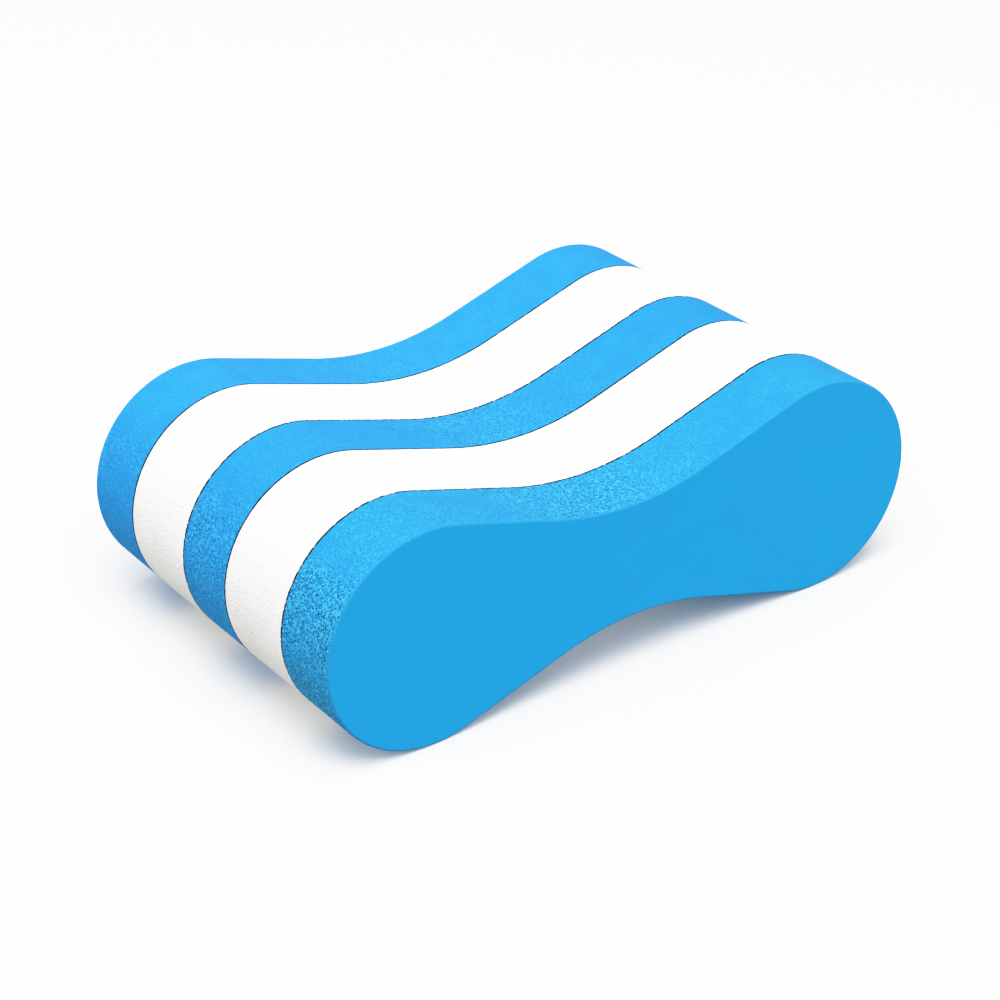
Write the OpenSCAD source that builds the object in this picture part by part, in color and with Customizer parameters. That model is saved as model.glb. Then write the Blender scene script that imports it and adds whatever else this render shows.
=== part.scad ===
// Laminated leg float for swimming: five layers of closed-cell EVA foam, bonded face to
// face and cut to one waisted outline. It lies on its two lobes, with its waist raised.
// X runs from lobe to lobe, Y through the layers and Z up. The origin is on the ground,
// under the middle of the float.

/* [Outline] */
// Length over both lobes
float_length = 225; // [205:1:260]
// Thickness of each lobe, top to bottom
lobe_thickness = 74; // [66:1:79]
// Thickness of the float at the middle of its waist
waist_thickness = 40; // [33:1:50]
// Slope of the straight flank between a lobe and the waist, in degrees
flank_angle = 17; // [14:0.5:24]

/* [Layers] */
// Thickness of each blue layer
blue_thickness = 25; // [15:0.5:40]
// Thickness of each white layer
white_thickness = 32.5; // [15:0.5:45]
// Thickness of each film of adhesive between two layers
bond_thickness = 0.2; // [0.1:0.05:0.5]
// How far the adhesive stays back from the cut edge of the foam
bond_setback = 0.6; // [0.3:0.1:2]

/* [Hidden] */
$fn = 180;
blue = "#26A6E6";
white = "#F7F7F3";
adhesive = "#2A2C2B";

// Thicknesses of the layers, from the front face, at negative Y, to the rear face
LAYERS = [blue_thickness, white_thickness, blue_thickness, white_thickness, blue_thickness];
// How far each straight flank passes its points of contact with the arcs at its ends,
// so that line and arc cross instead of only touching
flank_lap = 0.004;

lobe_r = lobe_thickness / 2;
lobe_x = float_length / 2 - lobe_r;
waist_half = waist_thickness / 2;
// The waist is hollowed by an arc that meets the straight flanks without a corner
hollow_r = (lobe_x * sin(flank_angle) + waist_half * cos(flank_angle) - lobe_r)
    / (1 - cos(flank_angle));
hollow_z = waist_half + hollow_r;

// Depth from the front face to the back of the film behind the first count layers
function depth(count) =
    count == 0 ? 0 : depth(count - 1) + LAYERS[count - 1] + bond_thickness;
float_width = depth(len(LAYERS)) - bond_thickness;
function layer_front(index) = depth(index) - float_width / 2;
function bond_front(index) = layer_front(index) + LAYERS[index];

// The two ends of the straight flank at positive X and Z, on an outline drawn in by inset
function outward(distance) = distance * [-sin(flank_angle), cos(flank_angle)];
function lobe_end(inset) = [lobe_x, 0] + outward(lobe_r - inset - flank_lap);
function waist_end(inset) = [0, hollow_z] - outward(hollow_r + inset - flank_lap);

// The straight-sided web between the lobes, drawn in by inset
module web(inset) {
    upper = [
        lobe_end(inset),
        waist_end(inset),
        [-waist_end(inset)[0], waist_end(inset)[1]],
        [-lobe_end(inset)[0], lobe_end(inset)[1]]
    ];
    polygon([each upper, each -upper]);
}

// The float's outline, in X and Z about its own middle, drawn in by inset all round
module outline(inset = 0) {
    difference() {
        union() {
            for (side = [-1, 1])
                translate([side * lobe_x, 0]) circle(r = lobe_r - inset);
            web(inset);
        }
        for (side = [-1, 1])
            translate([0, side * hollow_z]) circle(r = hollow_r + inset);
    }
}

// A slab of the outline that starts at front_y and runs back by thickness
module slab(front_y, thickness, inset = 0) {
    translate([0, front_y + thickness, lobe_r])
        rotate([90, 0, 0])
            linear_extrude(height = thickness) outline(inset);
}

// A foam layer, counted from the front
module foam(index) {
    slab(layer_front(index), LAYERS[index]);
}

// The film of adhesive behind a foam layer
module bond(index) {
    slab(bond_front(index), bond_thickness, bond_setback);
}

module front_face_layer() { color(blue) foam(0); }
module front_inner_layer() { color(white) foam(1); }
module core_layer() { color(blue) foam(2); }
module rear_inner_layer() { color(white) foam(3); }
module rear_face_layer() { color(blue) foam(4); }
module front_face_bond() { color(adhesive) bond(0); }
module front_core_bond() { color(adhesive) bond(1); }
module rear_core_bond() { color(adhesive) bond(2); }
module rear_face_bond() { color(adhesive) bond(3); }

front_face_layer();
front_inner_layer();
core_layer();
rear_inner_layer();
rear_face_layer();
front_face_bond();
front_core_bond();
rear_core_bond();
rear_face_bond();
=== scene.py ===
"""Laminated leg float: five foam layers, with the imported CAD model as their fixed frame.

X runs from lobe to lobe, Y through the layers and Z up, in metres, as in the CAD model.
"""
import math

import bmesh
import bpy
import numpy as np
from mathutils import Matrix, Vector, noise


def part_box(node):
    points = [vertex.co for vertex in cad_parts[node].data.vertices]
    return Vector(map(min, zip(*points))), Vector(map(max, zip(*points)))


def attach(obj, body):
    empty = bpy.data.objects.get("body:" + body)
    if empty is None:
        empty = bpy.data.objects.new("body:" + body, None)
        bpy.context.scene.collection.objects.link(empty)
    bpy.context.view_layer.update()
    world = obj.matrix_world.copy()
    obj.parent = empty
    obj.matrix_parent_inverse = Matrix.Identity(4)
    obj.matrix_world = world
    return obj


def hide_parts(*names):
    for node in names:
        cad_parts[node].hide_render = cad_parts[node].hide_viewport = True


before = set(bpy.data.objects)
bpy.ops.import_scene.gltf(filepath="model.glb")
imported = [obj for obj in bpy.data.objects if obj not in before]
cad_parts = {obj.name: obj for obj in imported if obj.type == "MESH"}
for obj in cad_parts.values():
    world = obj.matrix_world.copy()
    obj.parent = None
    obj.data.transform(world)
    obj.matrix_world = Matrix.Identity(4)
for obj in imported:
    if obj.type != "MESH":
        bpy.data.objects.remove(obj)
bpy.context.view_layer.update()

MM = 0.001

# ---------------------------------------------------------------- the layers
FRONT_LAYER = "front_face_layer"
REAR_LAYER = "rear_face_layer"
LAYERS = {  # node: (material slot, how coarse its cut sides are, tint of its own sheet)
    FRONT_LAYER: ("blue_foam", 1.0, (1.00, 0.99, 0.96)),
    "front_inner_layer": ("white_foam", 0.3, (1.0, 1.0, 1.0)),
    "core_layer": ("blue_foam", 0.5, (1.00, 0.95, 1.00)),
    "rear_inner_layer": ("white_foam", 0.3, (1.0, 1.0, 1.0)),
    REAR_LAYER: ("blue_foam", 0.22, (1.10, 1.00, 1.06)),
}

# ---------------------------------------------------------------- colours
CUT_COLOURS = {  # slot: (body of the foam, pit of an open cell with painted shade, wall of an open cell with a painted highlight)
    "blue_foam": ((0.012, 0.236, 0.58), (0.002, 0.065, 0.21), (0.060, 0.560, 0.97)),
    "white_foam": ((0.90, 0.90, 0.87), (0.45, 0.45, 0.42), (0.93, 0.93, 0.92)),
}
SKIN_COLOURS = {"blue_foam": (0.005, 0.308, 0.67), "white_foam": (0.90, 0.90, 0.88)}
# the adhesive films' colour, darker than the glue's own: partly painted shade of the deep groove
# they lie in
ADHESIVE_AND_GROOVE_SHADE = (0.023, 0.025, 0.024)
SOAKED_GLUE_AND_SHADE = (0.003, 0.016, 0.022)  # dark rim along a seam's foam edge: partly old adhesive soaked into the foam, partly painted shade of the groove between the layers
FLOOR_PAINT = (0.82, 0.82, 0.82)

# ---------------------------------------------------------------- shape of the float
WAIST_HALF = 20 * MM  # half the waist's thickness, as the CAD model has it
FLANK_SLOPE = math.radians(17)  # slope of the straight flanks, as the CAD model has it
core_low, core_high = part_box("core_layer")
MID_Z = (core_low.z + core_high.z) / 2
LOBE_R = (core_high.z - core_low.z) / 2
LOBE_X = (core_high.x - core_low.x) / 2 - LOBE_R
HOLLOW_R = (
    LOBE_X * math.sin(FLANK_SLOPE) + WAIST_HALF * math.cos(FLANK_SLOPE) - LOBE_R
) / (1 - math.cos(FLANK_SLOPE))
HOLLOW_Z = WAIST_HALF + HOLLOW_R

FACE_EDGE = 0.8 * MM  # rounding of the edge round each end face
SEAM_EDGE = 0.4 * MM  # rounding of each layer's edge at a seam
EDGE_STEPS = 4  # rows of faces round a rounded edge
SUPPORT = 0.15 * MM  # flat rim that keeps the shading of a face from bending at its edge
GRID = 0.6 * MM  # spacing of the grid on the cut sides
SKIN_COLUMNS = 24  # faces from bottom to top across an end face
HIDDEN_COLUMNS = 4  # the same, across a face that is bonded to its neighbour

# ---------------------------------------------------------------- relief
WANDER_SIZE = 34 * MM  # the knife's slow wander along a cut side, and its height
WANDER_HEIGHT = 0.10 * MM
WANDER_ALONG_Y = 0.6  # its pace along Y, as a share of its pace along the outline
RIPPLE_SIZE = 5 * MM  # the knife's ripple, and its height
RIPPLE_HEIGHT = 0.03 * MM
RIPPLE_ALONG_Y = 0.05  # the same for the ripple, which runs almost straight along Y
LUMP_SIZE = 1.3 * MM  # the lumps that the knife leaves between torn cells, and their height
LUMP_HEIGHT = 0.10 * MM
DIMPLE_SIZE = 26 * MM  # the dimples of a smooth sheet face, and half their depth
DIMPLE_DEPTH = 0.10 * MM
DIMPLE_RIM = 0.25  # share of a column over which the dimples deepen from its ends

# ---------------------------------------------------------------- grain of the cut sides
OPEN_BELOW = 19 * MM  # nearer than this to mid height, the cells of a cut side stand open
RUBBED_FROM = 29 * MM  # further than this from mid height, it is rubbed smooth
RUBBED_GRAIN = 0.18  # share of the grain that is left there
ENTRY_X = -25 * MM  # left of this the knife, which entered on the left, tore the cells widest
EXIT_X = 15 * MM  # right of this it cut cleanly
EXIT_GRAIN = 0.3  # share of the grain that is left there
PATCH_SIZE = 16 * MM
PATCH_SHIFT = 3.7  # picks where the patches of coarser grain lie
PATCH_NOISE = (0.35, 0.62)  # noise at which a patch begins and is full
PATCH_GRAIN = (0.55, 1.15)  # share of the grain outside and inside a patch
EDGE_GRAIN = 0.1  # share of the grain that is left on the edge round an end face
EDGE_HIGHLIGHT = 0.15  # how far that edge is lightened, a painted highlight along its rounding
CELL = 0.85 * MM  # pitch of the foam's cells
CELL_WALL = (0.15, 0.75)  # where, out from a cell's middle, its wall begins and is highest
CRUMB_SIZE = 0.4 * MM  # the crumb on the torn cell walls
MEAN_RELIEF = 0.43  # cells and crumb together, on average
HOLE_PITCH = 2.3 * MM  # pitch of the deep holes
HOLE_RADII = (0.10, 0.20)  # radius of a hole's floor and of its rim, as a share of the pitch
DEEPEST = 0.35 * MM  # depth of the grain as the light sees it
MOTTLE_SIZE = 7 * MM  # soft mottling of the colour
TONE = 0.6  # lightness, either side of the body's, at which a colour is all pit or all wall
SMEAR_SIZE = 1.4 * MM  # length of the smears of the dark rim along a seam, partly adhesive and partly painted groove shade
SMEAR_NOISE = (0.35, 0.65)  # noise at which a smear is thinnest and thickest
SMEAR_SHARE = (0.5, 1.6)  # how thick it is there
GLUE_SHADE_RANGE = (0.1, 0.6)  # thickness at which it begins to show and hides the foam

# ---------------------------------------------------------------- other surfaces
NOISE_RANGE = (0.3, 0.7)  # where the values of a noise mostly lie
PORE_SIZE = 0.9 * MM  # the pores of a smooth sheet face, and their depth
PORE_DEPTH = 0.02 * MM
BLOOM_SIZE = 18 * MM  # the bloom of a smooth sheet face
STROKE_SIZE = 1.5 * MM  # the brush strokes in the adhesive, and their depth
STROKE_DEPTH = 0.05 * MM
FLOOR_CLOUD = 0.4  # size of the floor's faint unevenness

# ---------------------------------------------------------------- the scene round it
FLOOR_HALF = 3.0  # half the side of the square floor
BACKDROP_R = 2.9  # radius of the round wall, and its height
BACKDROP_TOP = 5.0
BACKDROP_SIDES = 64
BACKDROP_GLOW = 1.1
SKY_GLOW = 0.5
LIGHT_AIM = Vector((0, 0, 0.03))
LIGHTS = {  # name: (place, side of its square, watts)
    "key": ((-0.45, -0.75, 2.5), 2.2, 93),
    "side": ((-1.6, 0.5, 1.0), 1.2, 16),
    "fill": ((0.9, -2.2, 1.2), 1.5, 30),
    "rear_fill": ((0.7, 2.3, 1.1), 1.5, 16),
}
CAMERA_AZIMUTH = math.radians(-34.99)
CAMERA_ELEVATION = math.radians(28.90)
CAMERA_ROLL = math.radians(-1.42)
CAMERA_DISTANCE = 0.8405
CAMERA_AIM = Vector((-0.0031, -0.0028, 0.0297))
CAMERA_CLIP = (0.05, 50)
SENSOR_WIDTH = 36  # in millimetres, like the focal length
FOCAL_LENGTH = 92.13
KNEE = 0.5  # tone above which the highlights roll off
BRIGHTEST = 2.5  # tone that is shown as white
CURVE_STEPS = 15


def add_object(name, data):
    """A new object in the scene that holds some data, such as a mesh or a lamp."""
    thing = bpy.data.objects.new(name, data)
    bpy.context.scene.collection.objects.link(thing)
    return thing


# ---------------------------------------------------------------- the outline
def arc(centre, radius, start, end, inward=False):
    """Points and outward normals (x, z) on an arc; a hollow arc's normals point inward."""
    count = max(2, round(abs(end - start) * radius / GRID))
    angles = np.linspace(start, end, count + 1)
    rays = np.column_stack([np.cos(angles), np.sin(angles)])
    return np.array(centre) + radius * rays, -rays if inward else rays


def half_outline():
    """Upper half of the outline, from the left tip to the right tip, with its normals."""
    lean = math.pi / 2 - FLANK_SLOPE
    lobe, lobe_out = arc((-LOBE_X, 0), LOBE_R, math.pi, lean)
    hollow, hollow_out = arc((0, HOLLOW_Z), HOLLOW_R, -math.pi + lean, -math.pi / 2, inward=True)
    count = max(2, round(float(np.linalg.norm(hollow[0] - lobe[-1])) / GRID))
    share = np.linspace(0, 1, count + 1)[1:-1, None]
    flank = lobe[-1] * (1 - share) + hollow[0] * share
    flank_out = np.repeat(lobe_out[-1:], len(flank), axis=0)
    left = np.vstack([lobe, flank, hollow])
    left_out = np.vstack([lobe_out, flank_out, hollow_out])
    mirror = np.array([-1, 1])
    points = np.vstack([left, left[-2::-1] * mirror])
    out = np.vstack([left_out, left_out[-2::-1] * mirror])
    return points, out


def whole_outline():
    """The whole outline: its upper half, then its lower half mirrored and run back."""
    points, out = half_outline()
    mirror = np.array([1, -1])
    return np.vstack([points, points[-2:0:-1] * mirror]), np.vstack([out, out[-2:0:-1] * mirror])


# ---------------------------------------------------------------- relief of the surface
def torn(point):
    """How far the cells stand open at a point: the crests of the lobes are rubbed smooth."""
    height = abs(point.z - MID_Z)
    share = (RUBBED_FROM - height) / (RUBBED_FROM - OPEN_BELOW)
    return min(1.0, max(RUBBED_GRAIN, share))


def cut_relief(point, coarse):
    """Height of a cut side at a point: the knife's slow wander, its ripple and the torn cells."""
    x, y, z = point
    wander = noise.noise(Vector((x, y * WANDER_ALONG_Y, z)) / WANDER_SIZE) * WANDER_HEIGHT
    ripple = noise.noise(Vector((x, y * RIPPLE_ALONG_Y, z)) / RIPPLE_SIZE) * RIPPLE_HEIGHT
    lumps = noise.noise(point / LUMP_SIZE) * LUMP_HEIGHT * coarse * torn(point)
    return wander + ripple + lumps


def skin_relief(point):
    """How far a smooth sheet face is dimpled at a point, as moulded sheet foam is."""
    return (1 + noise.noise(point / DIMPLE_SIZE)) * DIMPLE_DEPTH


# ---------------------------------------------------------------- a foam layer
def edge_rows(y_end, y_side, radius):
    """Rows (y, inset, lean) round one edge, from the flat rim on the face to the cut side."""
    rows = [(y_end, radius + SUPPORT, 1.0)]
    for step in range(EDGE_STEPS + 1):
        turn = math.pi / 2 * step / EDGE_STEPS
        y = y_end + (y_side - y_end) * (1 - math.cos(turn))
        rows.append((y, radius * (1 - math.sin(turn)), math.cos(turn)))
    return rows


def layer_rows(y_front, y_back, front_r, back_r):
    """Rows (y, inset, lean) through a layer. lean is 1 on a face and 0 on the cut side, and
    is negative towards the back."""
    front = edge_rows(y_front, y_front + front_r, front_r)
    back = edge_rows(y_back, y_back - back_r, back_r)
    span = (y_back - back_r) - (y_front + front_r)
    count = round(span / GRID)
    side = [(y_front + front_r + span * i / count, 0.0, 0.0) for i in range(1, count)]
    return front + side + [(y, inset, -lean) for y, inset, lean in reversed(back)]


def row_points(rows, coarse):
    """The points of the rows, each row a ring that follows the outline."""
    outline, out = whole_outline()
    points = []
    for y, inset, lean in rows:
        side = math.sqrt(1 - lean * lean)
        for (x, z), (out_x, out_z) in zip(outline, out):
            base = Vector((x - out_x * inset, y, MID_Z + z - out_z * inset))
            height = cut_relief(base, coarse) * side
            point = base + Vector((out_x, 0, out_z)) * height
            point.z = max(point.z, core_low.z)
            points.append(point)
    return points


def row_faces(row_count, total):
    """Quads between each row of points and the next."""
    faces = []
    for j in range(row_count - 1):
        a = j * total
        b = a + total
        for i in range(total):
            k = (i + 1) % total
            faces.append((a + i, a + k, b + k, b + i))
    return faces


def row_marks(rows, total, is_front, is_rear):
    """For each point of the rows, how far it lies on an edge at a seam, and how far on the
    edge round an end face."""
    seam = []
    edge = []
    for y, inset, lean in rows:
        exposed = (lean > 0 and is_front) or (lean < 0 and is_rear)
        seam += [0.0 if exposed else abs(lean)] * total
        edge += [abs(lean) if exposed else 0.0] * total
    return {"seam": seam, "edge": edge}


def cap(faces, points, ring, columns, sink):
    """Fills a face inside a ring of points with columns of quads from its lower to its upper
    edge. sink is the way, along Y, that the face is dimpled, or 0 for a flat one."""
    total = len(ring)
    upper = total // 2
    ladders = []
    for i in range(1, upper):
        top, bottom = points[ring[i]], points[ring[total - i]]
        ladder = [ring[total - i]]
        for k in range(1, columns):
            point = bottom.lerp(top, k / columns)
            rise = min(1.0, min(k, columns - k) / columns / DIMPLE_RIM)
            point.y += sink * rise * skin_relief(point)
            points.append(point)
            ladder.append(len(points) - 1)
        ladders.append(ladder + [ring[i]])
    for a, b in zip(ladders, ladders[1:]):
        faces.extend((a[k], b[k], b[k + 1], a[k + 1]) for k in range(columns))
    for tip, ladder in ((ring[0], ladders[0]), (ring[upper], ladders[-1])):
        faces.extend((tip, ladder[k], ladder[k + 1]) for k in range(columns))


def turn_outward(mesh):
    """Turns every face of a closed mesh outward."""
    work = bmesh.new()
    work.from_mesh(mesh)
    bmesh.ops.recalc_face_normals(work, faces=work.faces)
    work.to_mesh(mesh)
    work.free()


def foam_layer(node, coarse, cut_material, skin_material):
    """A foam layer as one closed mesh: cut sides, rounded edges and two sheet faces."""
    box_low, box_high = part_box(node)
    is_front = node == FRONT_LAYER
    is_rear = node == REAR_LAYER
    front_r = FACE_EDGE if is_front else SEAM_EDGE
    back_r = FACE_EDGE if is_rear else SEAM_EDGE
    rows = layer_rows(box_low.y, box_high.y, front_r, back_r)
    points = row_points(rows, coarse)
    total = len(points) // len(rows)
    marks = row_marks(rows, total, is_front, is_rear)
    faces = row_faces(len(rows), total)
    sides = len(faces)
    front_ring = range(total)
    back_ring = range(len(points) - total, len(points))
    cap(faces, points, front_ring, SKIN_COLUMNS if is_front else HIDDEN_COLUMNS, int(is_front))
    cap(faces, points, back_ring, SKIN_COLUMNS if is_rear else HIDDEN_COLUMNS, -int(is_rear))

    mesh = bpy.data.meshes.new(node + "_foam")
    mesh.from_pydata([tuple(point) for point in points], [], faces)
    mesh.materials.append(cut_material)
    mesh.materials.append(skin_material)
    skin = np.zeros(len(faces), dtype=np.int32)
    skin[sides:] = 1
    mesh.polygons.foreach_set("material_index", skin)
    mesh.polygons.foreach_set("use_smooth", np.ones(len(faces), dtype=bool))
    for name, values in marks.items():
        store = mesh.attributes.new(name, "FLOAT", "POINT")
        store.data.foreach_set("value", values + [0.0] * (len(points) - len(values)))
    mesh.update()
    turn_outward(mesh)
    return add_object(node + "_foam", mesh)


# ---------------------------------------------------------------- materials
class Nodes:
    """A material's node tree, with short calls to add and link nodes."""

    def __init__(self, name):
        self.material = bpy.data.materials.new(name)
        self.material.use_nodes = True
        self.tree = self.material.node_tree
        self.shader = self.tree.nodes["Principled BSDF"]
        self.place = self.add("ShaderNodeTexCoord").outputs["Object"]

    def add(self, kind, **settings):
        """A new node of a kind, with its settings."""
        node = self.tree.nodes.new(kind)
        for key, value in settings.items():
            setattr(node, key, value)
        return node

    def link(self, source, target):
        """Feeds one socket from another."""
        self.tree.links.new(source, target)

    def noise(self, size, detail=2, shift=0.0):
        """Soft noise of a given size. shift picks another pattern of the same kind."""
        node = self.add("ShaderNodeTexNoise", noise_dimensions="4D")
        self.link(self.place, node.inputs["Vector"])
        node.inputs["W"].default_value = shift
        node.inputs["Scale"].default_value = 1 / size
        node.inputs["Detail"].default_value = detail
        return node.outputs["Fac"]

    def cells(self, size):
        """Distance to the middle of the nearest cell, as a share of the cells' pitch."""
        node = self.add("ShaderNodeTexVoronoi")
        self.link(self.place, node.inputs["Vector"])
        node.inputs["Scale"].default_value = 1 / size
        return node.outputs["Distance"]

    def span(self, value, low_in, high_in, low_out, high_out):
        """A value carried from one range to another, and held at its ends."""
        node = self.add("ShaderNodeMapRange")
        self.link(value, node.inputs["Value"])
        node.inputs["From Min"].default_value = low_in
        node.inputs["From Max"].default_value = high_in
        node.inputs["To Min"].default_value = low_out
        node.inputs["To Max"].default_value = high_out
        return node.outputs["Result"]

    def vary(self, value, low_out, high_out):
        """A noise carried to a range."""
        return self.span(value, *NOISE_RANGE, low_out, high_out)

    def math(self, operation, *values):
        """The result of an operation on values, each either a number or a socket."""
        node = self.add("ShaderNodeMath", operation=operation)
        for socket, value in zip(node.inputs, values):
            if isinstance(value, (int, float)):
                socket.default_value = value
            else:
                self.link(value, socket)
        return node.outputs["Value"]

    def axis(self, letter):
        """The X, Y or Z of the place on the surface."""
        node = self.add("ShaderNodeSeparateXYZ")
        self.link(self.place, node.inputs["Vector"])
        return node.outputs[letter]

    def attribute(self, name):
        """A value stored on the mesh's points."""
        return self.add("ShaderNodeAttribute", attribute_name=name).outputs["Fac"]

    def mix(self, first, second, factor):
        """A colour between two, each either three numbers or a socket. Sockets 4 and 5 and
        output 1 are the node's vector ones."""
        node = self.add("ShaderNodeMix", data_type="VECTOR")
        self.link(factor, node.inputs["Factor"])
        for socket, value in ((node.inputs[4], first), (node.inputs[5], second)):
            if isinstance(value, tuple):
                socket.default_value = value
            else:
                self.link(value, socket)
        return node.outputs[1]

    def shade(self, colour, factor):
        """The colour made lighter or darker by a factor that varies over the surface."""
        node = self.add("ShaderNodeVectorMath", operation="SCALE")
        node.inputs[0].default_value = colour
        self.link(factor, node.inputs["Scale"])
        return node.outputs["Vector"]

    def bump(self, height, distance):
        """The surface's normal, tilted by a height field."""
        node = self.add("ShaderNodeBump")
        self.link(height, node.inputs["Height"])
        node.inputs["Distance"].default_value = distance
        return node.outputs["Normal"]

    def finish(self, colour, roughness, normal, specular):
        """Feeds the shader, and gives the finished material."""
        self.link(colour, self.shader.inputs["Base Color"])
        self.link(roughness, self.shader.inputs["Roughness"])
        self.link(normal, self.shader.inputs["Normal"])
        self.shader.inputs["Specular IOR Level"].default_value = specular
        return self.material


def tinted(colour, tint):
    """A colour with each channel scaled by the tint's."""
    return tuple(channel * share for channel, share in zip(colour, tint))


def open_share(m, coarse, edge):
    """How far the cells stand open: less on the rubbed crests, on the right, where the knife
    cut cleanly, outside the coarse patches and on the edge round an end face."""
    height = m.math("ABSOLUTE", m.math("SUBTRACT", m.axis("Z"), MID_Z))
    rubbed = m.span(height, OPEN_BELOW, RUBBED_FROM, 1, RUBBED_GRAIN)
    entered = m.span(m.axis("X"), ENTRY_X, EXIT_X, 1, EXIT_GRAIN)
    patches = m.span(m.noise(PATCH_SIZE, shift=PATCH_SHIFT), *PATCH_NOISE, *PATCH_GRAIN)
    share = m.math("MULTIPLY", m.math("MULTIPLY", rubbed, entered), patches)
    return m.math("MULTIPLY", share, m.span(edge, 0, 0.7, coarse, EDGE_GRAIN * coarse))


def cut_foam(name, colours, coarse):
    """Foam where the knife opened its cells: pale walls with a painted highlight, dark pits and a
    few deep holes with painted shade, and a dark seam rim, partly adhesive smeared along the
    seams and partly painted groove shade."""
    body, shaded_pit, wall = colours
    m = Nodes(name)
    edge = m.attribute("edge")
    open_cells = open_share(m, coarse, edge)
    beads = m.span(m.cells(CELL), *CELL_WALL, 0, 1)
    crumb = m.noise(CRUMB_SIZE)
    relief = m.math("ADD", beads, m.vary(crumb, -0.5, 0.5))
    contrast = m.math("MULTIPLY", m.math("SUBTRACT", relief, MEAN_RELIEF), open_cells)
    mottle = m.vary(m.noise(MOTTLE_SIZE, detail=3), -0.03, 0.03)
    fine = m.vary(crumb, -0.12, 0.12)
    # painted shade: the deep holes are dark spots in the colour only, not dents in the surface
    shaded_holes = m.math("MULTIPLY", m.span(m.cells(HOLE_PITCH), *HOLE_RADII, -1, 0), open_cells)
    tone = m.math("ADD", m.math("ADD", contrast, mottle), m.math("ADD", fine, shaded_holes))
    # partly the foam's grain, partly painted light: pits darkened with painted shade, walls
    # lightened with a painted highlight of pale glints
    foam = m.mix(shaded_pit, body, m.span(tone, -TONE, 0, 0, 1))
    foam = m.mix(foam, wall, m.span(tone, 0, TONE, 0, 1))
    # painted shade: a dark rim along each seam's edge, partly adhesive soaked into the foam and
    # partly the groove's shade painted in
    smear = m.span(m.noise(SMEAR_SIZE), *SMEAR_NOISE, *SMEAR_SHARE)
    glue_stain_and_shade = m.span(m.math("MULTIPLY", m.attribute("seam"), smear), *GLUE_SHADE_RANGE, 0, 1)
    foam = m.mix(foam, SOAKED_GLUE_AND_SHADE, glue_stain_and_shade)
    # painted highlight: the rounded edge round an end face lightened towards the walls' pale
    # colour
    foam = m.mix(foam, wall, m.span(edge, 0.1, 1, 0, EDGE_HIGHLIGHT))
    depth = m.math("MULTIPLY", relief, m.math("ADD", open_cells, 0.1))
    return m.finish(foam, m.vary(crumb, 0.72, 0.92), m.bump(depth, DEEPEST), specular=0.1)


def skin_foam(name, colour):
    """Foam on the face of the moulded sheet: smooth, with a faint leathery bloom."""
    m = Nodes(name)
    pores = m.noise(PORE_SIZE)
    bloom = m.noise(BLOOM_SIZE, detail=4)
    light = m.math("MULTIPLY", m.vary(pores, 0.99, 1.01), m.vary(bloom, 0.985, 1.015))
    skin = m.shade(colour, light)
    normal = m.bump(pores, PORE_DEPTH)
    return m.finish(skin, m.vary(bloom, 0.50, 0.60), normal, specular=0.15)


def adhesive_and_groove_shade(name, colour):
    """Contact adhesive: satin and slightly ropy where it was brushed on, and dark, partly its own
    colour and partly painted shade of the groove it lies in.
    """
    m = Nodes(name)
    strokes = m.noise(STROKE_SIZE, detail=4)
    film = m.shade(colour, m.vary(strokes, 0.8, 1.1))
    normal = m.bump(strokes, STROKE_DEPTH)
    return m.finish(film, m.vary(strokes, 0.35, 0.55), normal, specular=0.5)


# ---------------------------------------------------------------- the scene round it
def floor_material():
    """Plain pale paint, very slightly uneven."""
    m = Nodes("floor_paint")
    paint = m.shade(FLOOR_PAINT, m.vary(m.noise(FLOOR_CLOUD), 0.995, 1.005))
    m.link(paint, m.shader.inputs["Base Color"])
    m.shader.inputs["Roughness"].default_value = 0.9
    m.shader.inputs["Specular IOR Level"].default_value = 0.1
    return m.material


def floor():
    """A plain pale floor that throws no light back up at the float."""
    mesh = bpy.data.meshes.new("floor")
    signs = ((-1, -1), (1, -1), (1, 1), (-1, 1))
    mesh.from_pydata([(x * FLOOR_HALF, y * FLOOR_HALF, 0) for x, y in signs], [], [(0, 1, 2, 3)])
    mesh.materials.append(floor_material())
    plane = add_object("floor", mesh)
    plane.visible_diffuse = False


def backdrop_material():
    """An even white glow."""
    glow = bpy.data.materials.new("backdrop_glow")
    glow.use_nodes = True
    tree = glow.node_tree
    tree.nodes.clear()
    shine = tree.nodes.new("ShaderNodeEmission")
    shine.inputs["Strength"].default_value = BACKDROP_GLOW
    output = tree.nodes.new("ShaderNodeOutputMaterial")
    tree.links.new(shine.outputs["Emission"], output.inputs["Surface"])
    return glow


def backdrop():
    """A pale wall all round, well away from the float, that gives it no light."""
    mesh = bpy.data.meshes.new("backdrop")
    work = bmesh.new()
    bmesh.ops.create_cone(
        work,
        cap_ends=False,
        segments=BACKDROP_SIDES,
        radius1=BACKDROP_R,
        radius2=BACKDROP_R,
        depth=BACKDROP_TOP,
    )
    bmesh.ops.translate(work, verts=work.verts, vec=(0, 0, BACKDROP_TOP / 2))
    work.to_mesh(mesh)
    work.free()
    mesh.materials.append(backdrop_material())
    wall = add_object("backdrop", mesh)
    wall.visible_diffuse = False
    wall.visible_glossy = False
    wall.visible_shadow = False


def sky():
    """An even white light from all round."""
    world = bpy.data.worlds.new("studio")
    world.use_nodes = True
    background = world.node_tree.nodes["Background"]
    background.inputs["Color"].default_value = (1, 1, 1, 1)
    background.inputs["Strength"].default_value = SKY_GLOW
    bpy.context.scene.world = world


def light_panel(name, place, side, power):
    """A square studio light that faces the float."""
    lamp = bpy.data.lights.new(name, "AREA")
    lamp.size = side
    lamp.energy = power
    panel = add_object(name, lamp)
    panel.location = place
    panel.rotation_euler = (LIGHT_AIM - Vector(place)).to_track_quat("-Z", "Y").to_euler()


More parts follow.
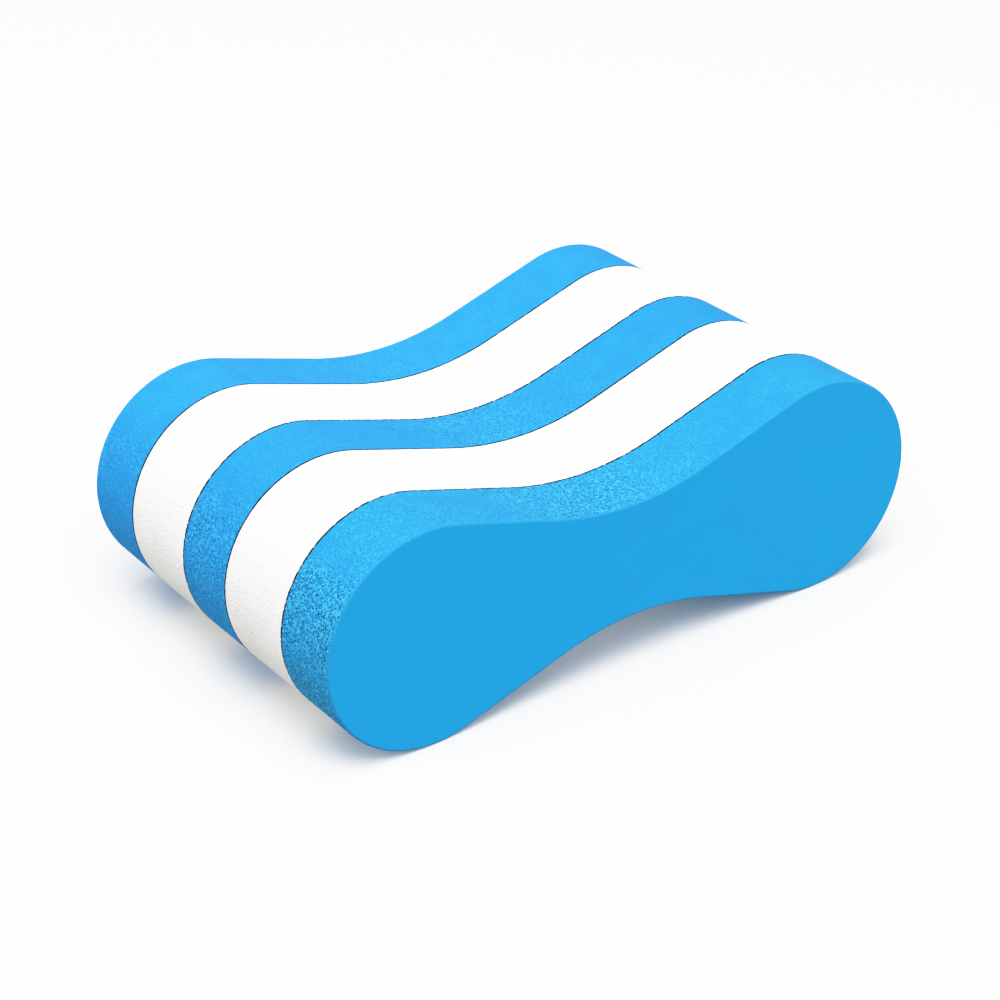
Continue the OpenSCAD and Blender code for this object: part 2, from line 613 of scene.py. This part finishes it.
def camera():
    """A long lens from the front left, above the float, as such a float is shown for sale."""
    away = Vector(
        (
            math.sin(CAMERA_AZIMUTH) * math.cos(CAMERA_ELEVATION),
            -math.cos(CAMERA_AZIMUTH) * math.cos(CAMERA_ELEVATION),
            math.sin(CAMERA_ELEVATION),
        )
    )
    lens = bpy.data.cameras.new("camera")
    lens.sensor_width = SENSOR_WIDTH
    lens.lens = FOCAL_LENGTH
    lens.clip_start, lens.clip_end = CAMERA_CLIP
    level = (-away).to_track_quat("-Z", "Y").to_matrix()
    turned = (level @ Matrix.Rotation(CAMERA_ROLL, 3, "Z")).to_4x4()
    eye = add_object("camera", lens)
    eye.matrix_world = Matrix.Translation(CAMERA_AIM + away * CAMERA_DISTANCE) @ turned
    bpy.context.scene.camera = eye


def tone_curve():
    """Shows tones as they are up to a knee, above which they roll off towards white."""
    view = bpy.context.scene.view_settings
    view.view_transform = "Standard"
    view.look = "None"
    view.use_curve_mapping = True
    mapping = view.curve_mapping
    mapping.clip_max_x = BRIGHTEST
    curve = mapping.curves[3]
    curve.points[0].location = (0, 0)
    curve.points[1].location = (KNEE, KNEE)
    for step in range(1, CURVE_STEPS + 1):
        tone = KNEE + (BRIGHTEST - KNEE) * step / CURVE_STEPS
        curve.points.new(tone, KNEE + (1 - KNEE) * math.tanh((tone - KNEE) / (1 - KNEE)))
    mapping.update()


# ---------------------------------------------------------------- building it all
def build_layers():
    """Each foam layer in place of its plain CAD solid."""
    for node, (slot, coarse, tint) in LAYERS.items():
        cut_colours = [tinted(colour, tint) for colour in CUT_COLOURS[slot]]
        cut = cut_foam(node + "_cut", cut_colours, coarse)
        skin = skin_foam(node + "_skin", SKIN_COLOURS[slot])
        piece = foam_layer(node, coarse, cut, skin)
        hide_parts(node)
        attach(piece, "root")


def coat_bonds():
    """The adhesive's material, darkened with painted groove shade, on the CAD model's own films.
    """
    adhesive = adhesive_and_groove_shade("adhesive_and_groove_shade", ADHESIVE_AND_GROOVE_SHADE)
    for name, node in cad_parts.items():
        if name.endswith("_bond"):
            node.data.materials.clear()
            node.data.materials.append(adhesive)


camera()
build_layers()
coat_bonds()
floor()
backdrop()
sky()
for name, (place, side, power) in LIGHTS.items():
    light_panel(name, place, side, power)
tone_curve()
